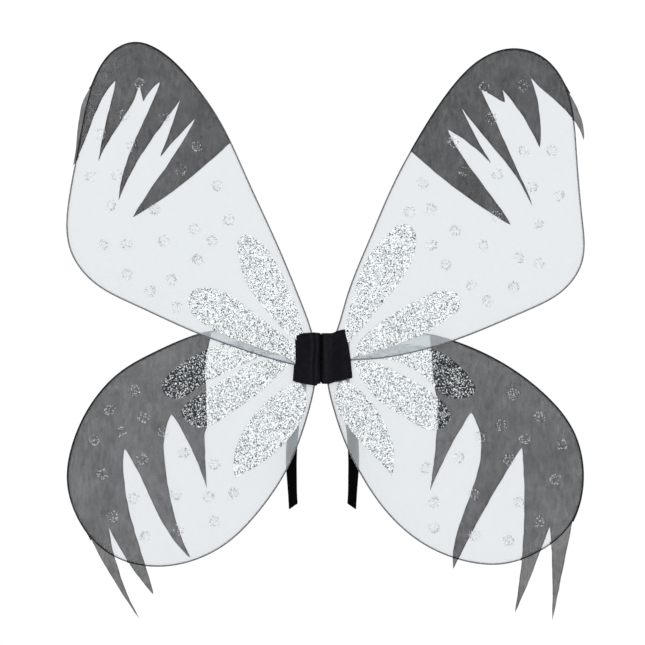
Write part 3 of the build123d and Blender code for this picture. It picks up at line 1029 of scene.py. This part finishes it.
def build_pad():
    """Thin foam pad in a soft cover, swelled by cloth pressure."""
    low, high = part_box("back_pad")
    loop = resample(front_loops("back_pad")[0], PAD_STEP) * PAD_SHARE
    flat, tris, rim = triangulate(loop, PAD_STEP, seed=3)
    count = len(flat)
    verts = [(p[0], y, p[1]) for y in (low.y + 0.05 * MM, high.y - 1.3 * MM) for p in flat]
    faces = tris + [[count + i for i in reversed(t)] for t in tris]
    faces += ring_faces(0, count, rim)
    pad = new_piece("wearer_pad", verts, faces)
    run_cloth(pad, list(range(count)), PAD_FRAMES, gravity_share=0.0, **PAD_SWELL)
    apply_modifiers(pad)
    pad.vertex_groups.clear()
    bpy.context.scene.frame_set(1)
    for v in pad.data.vertices:
        v.co.y = max(low.y, min(v.co.y, high.y - 0.05 * MM))
    subdivide(pad)
    finish_piece(pad, "back", "pad_cover", PAD_CLOTH, "back_pad")


# ------------------------------------------------------------------ elastic straps
STRAP_W = 14.2 * MM
STRAP_T = 1.25 * MM
RIBS = 9
RIB_H = 0.09 * MM
STRAP_STATIONS = 150
CURVE_STEPS = 24
TAB_INSET = 0.7                 # middle of the band inside the sewn ends' faces, mm
# Heights of the band's course behind the patch, down the front run and up the back run.
DOWN_HEIGHTS = (0.0, -30.0)
UP_HEIGHTS = (-34.0, -25.0, -13.5)
# Right-hand loop below the sewn ends: x, y, z in millimetres, front run first.
HANG = (
    (28.0, -2.8, -39.0), (31.0, -2.7, -56.0), (38.0, -2.4, -90.0), (40.5, -1.4, -128.0),
    (39.5, 1.6, -164.0), (38.0, 10.5, -193.6), (39.5, 19.5, -166.0), (40.5, 21.5, -130.0),
    (37.5, 14.5, -88.0), (31.0, 3.9, -56.0), (28.0, -1.3, -39.0),
)
TWIST = math.radians(38)        # turn of the band at the bottom of the loop
TWIST_FROM = 112 * MM           # below the middle
TWIST_OVER = 70 * MM


def smooth_path(points, count):
    """Catmull-Rom curve through the points, evenly spaced."""
    pts = [Vector(p) for p in points]
    pts = [2 * pts[0] - pts[1]] + pts + [2 * pts[-1] - pts[-2]]
    fine = []
    for i in range(1, len(pts) - 2):
        a, b, c, d = pts[i - 1 : i + 3]
        for k in range(CURVE_STEPS):
            t = k / CURVE_STEPS
            fine.append(
                0.5 * (2 * b + (c - a) * t + (2 * a - 5 * b + 4 * c - d) * t * t
                       + (3 * b - a - 3 * c + d) * t ** 3)
            )
    fine.append(pts[-2])
    run = [0.0]
    for p, q in zip(fine, fine[1:]):
        run.append(run[-1] + (q - p).length)
    even = []
    at = 0
    for k in range(count):
        want = run[-1] * k / (count - 1)
        while at < len(run) - 2 and run[at + 1] < want:
            at += 1
        t = (want - run[at]) / max(run[at + 1] - run[at], TINY)
        even.append(fine[at].lerp(fine[at + 1], t))
    return even


def band_section():
    """Cross-section of ribbed elastic, as (across, through) points."""
    points = []
    steps = RIBS * 4
    for face in (1, -1):
        for i in range(steps + 1):
            u = i / steps
            across = (u - 0.5) * STRAP_W * face
            edge = min(1.0, 1.4 * math.sin(math.pi * min(max(u, 0.012), 0.988)) ** 0.25)
            rib = RIB_H * math.cos(math.tau * RIBS * u)
            points.append((across, face * (STRAP_T / 2 * edge - RIB_H + rib)))
    return points


def strap_path(side, sign):
    """Middle line of one band, from the sewn end down the loop and back up."""
    low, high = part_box(side + "_strap_tabs")
    x = sign * (low.x + high.x) / 2 / MM
    front_y = low.y / MM + TAB_INSET
    back_y = high.y / MM - TAB_INSET
    path = [(x, front_y, z) for z in (high.z / MM, *DOWN_HEIGHTS)]
    path += HANG
    path += [(x, back_y, z) for z in UP_HEIGHTS]
    return smooth_path([(sign * p[0] * MM, p[1] * MM, p[2] * MM) for p in path], STRAP_STATIONS)


def build_straps():
    """One ribbed band per side, from where it leaves the patch down round its loop and back up."""
    section = band_section()
    size = len(section)
    for side, sign in (("left", -1), ("right", 1)):
        points = strap_path(side, sign)
        verts, faces = [], []
        for i, p in enumerate(points):
            before = points[max(i - 1, 0)]
            after = points[min(i + 1, len(points) - 1)]
            along = (after - before).normalized()
            across = Vector((1, 0, 0))
            across = (across - along * across.dot(along)).normalized()
            drop = min(1.0, max(0.0, (-p.z - TWIST_FROM) / TWIST_OVER))
            twist = sign * TWIST * drop * drop * (3 - 2 * drop)
            across = Matrix.Rotation(twist, 3, along) @ across
            through = along.cross(across)
            verts += [p + across * u + through * v for u, v in section]
        for last in range(0, len(verts) - size, size):
            here = last + size
            for k in range(size):
                m = (k + 1) % size
                faces.append([last + k, last + m, here + m, here + k])
        faces.append(list(range(size)))
        faces.append([len(verts) - 1 - k for k in range(size)])
        strap = new_piece(side + "_strap", verts, faces)
        nodes = (side + "_strap_tabs", side + "_strap_loop")
        finish_piece(strap, None, "strap_elastic", ELASTIC, *nodes)
        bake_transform(strap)


# ------------------------------------------------------------------ studio
FIELD = 0.8385                  # width of the view at the wings, metres
CAMERA_Z = 0.04615
CAMERA_DISTANCE = 6.0
SENSOR = 36.0
SEEN_WHITE = 1.02               # the backdrop as the camera sees it
FILL_WHITE = 0.82               # the backdrop as it lights the wings
LAMPS = (
    ("key", (-1.4, -2.6, 1.7), 26, 1.2),
    ("fill", (1.8, -2.4, 0.9), 14, 1.6),
    ("rim", (0.6, 2.2, 1.8), 10, 1.2),
)
FLOOR_R = 1.25
FLOOR_SIDES = 96
FLOOR_DROP = 0.12               # below the lowest hanging point


def light_world(scene):
    """Plain white all round, a little brighter to the camera than to the object."""
    world = bpy.data.worlds.new("studio")
    scene.world = world
    world.use_nodes = True
    tree = world.node_tree
    tree.nodes.clear()
    light_path = tree.nodes.new("ShaderNodeLightPath")
    mix = tree.nodes.new("ShaderNodeMixShader")
    out = tree.nodes.new("ShaderNodeOutputWorld")
    for socket, strength in ((1, FILL_WHITE), (2, SEEN_WHITE)):
        white = tree.nodes.new("ShaderNodeBackground")
        white.inputs["Color"].default_value = (1, 1, 1, 1)
        white.inputs["Strength"].default_value = strength
        tree.links.new(white.outputs[0], mix.inputs[socket])
    tree.links.new(light_path.outputs["Is Camera Ray"], mix.inputs[0])
    tree.links.new(mix.outputs[0], out.inputs["Surface"])


def add_lamps(scene):
    """Large soft lamps that face the origin."""
    for name, place, power, size in LAMPS:
        lamp = bpy.data.lights.new(name, "AREA")
        lamp.energy = power
        lamp.size = size
        holder = bpy.data.objects.new(name, lamp)
        holder.location = place
        holder.rotation_mode = "QUATERNION"
        holder.rotation_quaternion = (-Vector(place)).to_track_quat("-Z", "Y")
        scene.collection.objects.link(holder)


def add_floor():
    """Plain pale disc below the wings."""
    z = CAD_BOX[0].z - FLOOR_DROP
    angles = [math.tau * i / FLOOR_SIDES for i in range(FLOOR_SIDES)]
    ring = [(FLOOR_R * math.cos(a), FLOOR_R * math.sin(a), z) for a in angles]
    floor = new_piece("floor", ring, [list(range(FLOOR_SIDES))], smooth=False)
    n = Nodes("pale_floor")
    grain = n.noise(14.0, detail=4.0)
    colour = n.tint(grain, (0.90, 0.90, 0.89), (0.93, 0.93, 0.92))
    floor.data.materials.append(n.output(n.principled(colour, 0.7)))


def add_camera(scene):
    """Square on to the front, from far enough away to look flat."""
    lens = bpy.data.cameras.new("camera")
    lens.sensor_width = SENSOR
    lens.lens = SENSOR * CAMERA_DISTANCE / FIELD
    camera = bpy.data.objects.new("camera", lens)
    camera.location = (0.0, -CAMERA_DISTANCE, CAMERA_Z)
    camera.rotation_euler = (math.radians(90), 0, 0)
    scene.collection.objects.link(camera)
    scene.camera = camera


def build_studio():
    scene = bpy.context.scene
    scene.view_settings.view_transform = "Standard"
    scene.cycles.transparent_max_bounces = 40
    light_world(scene)
    add_lamps(scene)
    add_floor()
    add_camera(scene)


# ------------------------------------------------------------------ build it all
CAD_FINISHES = (
    ("_wire", WIRE), ("_wire_binding", TAPE_CLOTH), ("_stitches", THREAD), ("crease_seam", THREAD),
)

for wing in WINGS:
    wing_loop, wing_billow = build_sheet(wing)
    overlay_loop, wing_tip = build_overlay(wing, wing_loop, wing_billow)
    wing_bed = (overlay_loop, wing_tip, wing_billow)
    build_petals(wing, wing_bed)
    build_dots(wing, wing_bed)

build_patch()
build_pad()
build_straps()

# The CAD parts that stay as they are get their materials.
for cad_name, cad_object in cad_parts.items():
    for ending, finish in CAD_FINISHES:
        if cad_name.endswith(ending):
            cad_object.data.materials.clear()
            cad_object.data.materials.append(finish)

build_studio()
